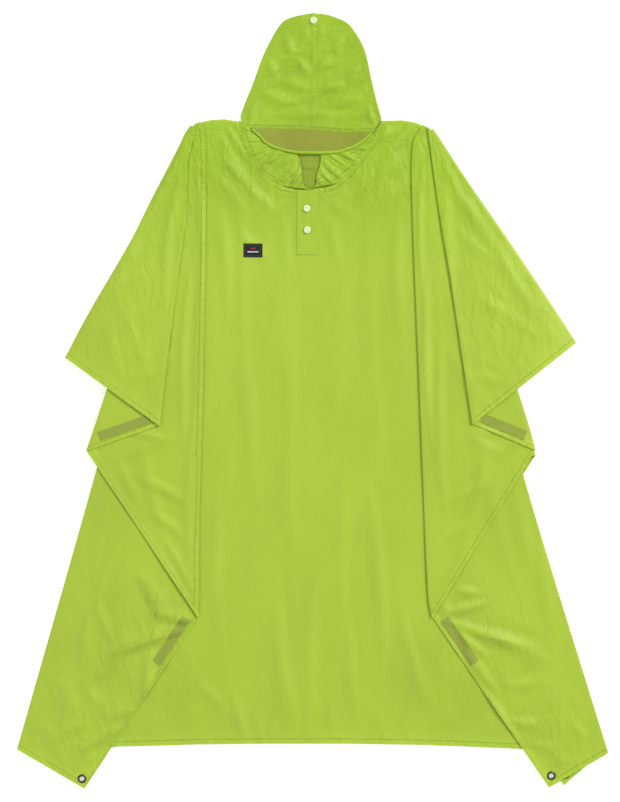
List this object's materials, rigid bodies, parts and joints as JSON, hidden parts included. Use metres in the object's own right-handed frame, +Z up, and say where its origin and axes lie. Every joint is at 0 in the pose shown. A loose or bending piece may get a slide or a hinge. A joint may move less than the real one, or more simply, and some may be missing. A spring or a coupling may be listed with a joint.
{
  "type": "rain poncho",
  "caption": "Lime green lightweight rain poncho with a visored hood, laid flat on its back with the side panels folded in from the shoulders.",
  "frame": {"origin": "middle of the floor under the laid garment's bounding box", "axes": "+Z up from the floor; +Y from the hem to the top of the hood; +X to the right as the picture shows it"},
  "size_m": [1.0378, 1.361, 0.0211],
  "materials": {
    "coated_nylon": "thin coated nylon with a soft sheen",
    "visor_cloth": "matt coated reverse over a stiffener",
    "hook_and_loop": "napped tape",
    "snap_plastic": "moulded, half gloss",
    "eyelet_nickel": "dark nickel plate",
    "label_weave": "woven, bare"
  },
  "bodies": {
    "root": {"back_panel": "coated_nylon", "eyelet_back_left": "eyelet_nickel", "eyelet_back_right": "eyelet_nickel", "eyelet_front_left": "eyelet_nickel", "eyelet_front_right": "eyelet_nickel", "front_panel": "coated_nylon", "hood_left": "coated_nylon", "hood_right": "coated_nylon", "label": "label_weave", "mate_lower_left": "hook_and_loop", "mate_lower_right": "hook_and_loop", "mate_upper_left": "hook_and_loop", "mate_upper_right": "hook_and_loop", "placket": "coated_nylon", "placket_underlap": "coated_nylon", "snap_cap_hood": "snap_plastic", "snap_cap_lower": "snap_plastic", "snap_cap_upper": "snap_plastic", "strip_lower_left": "hook_and_loop", "strip_lower_right": "hook_and_loop", "strip_upper_left": "hook_and_loop", "strip_upper_right": "hook_and_loop", "visor": "visor_cloth", "visor_binding": "coated_nylon"}
  },
  "joints": []
}
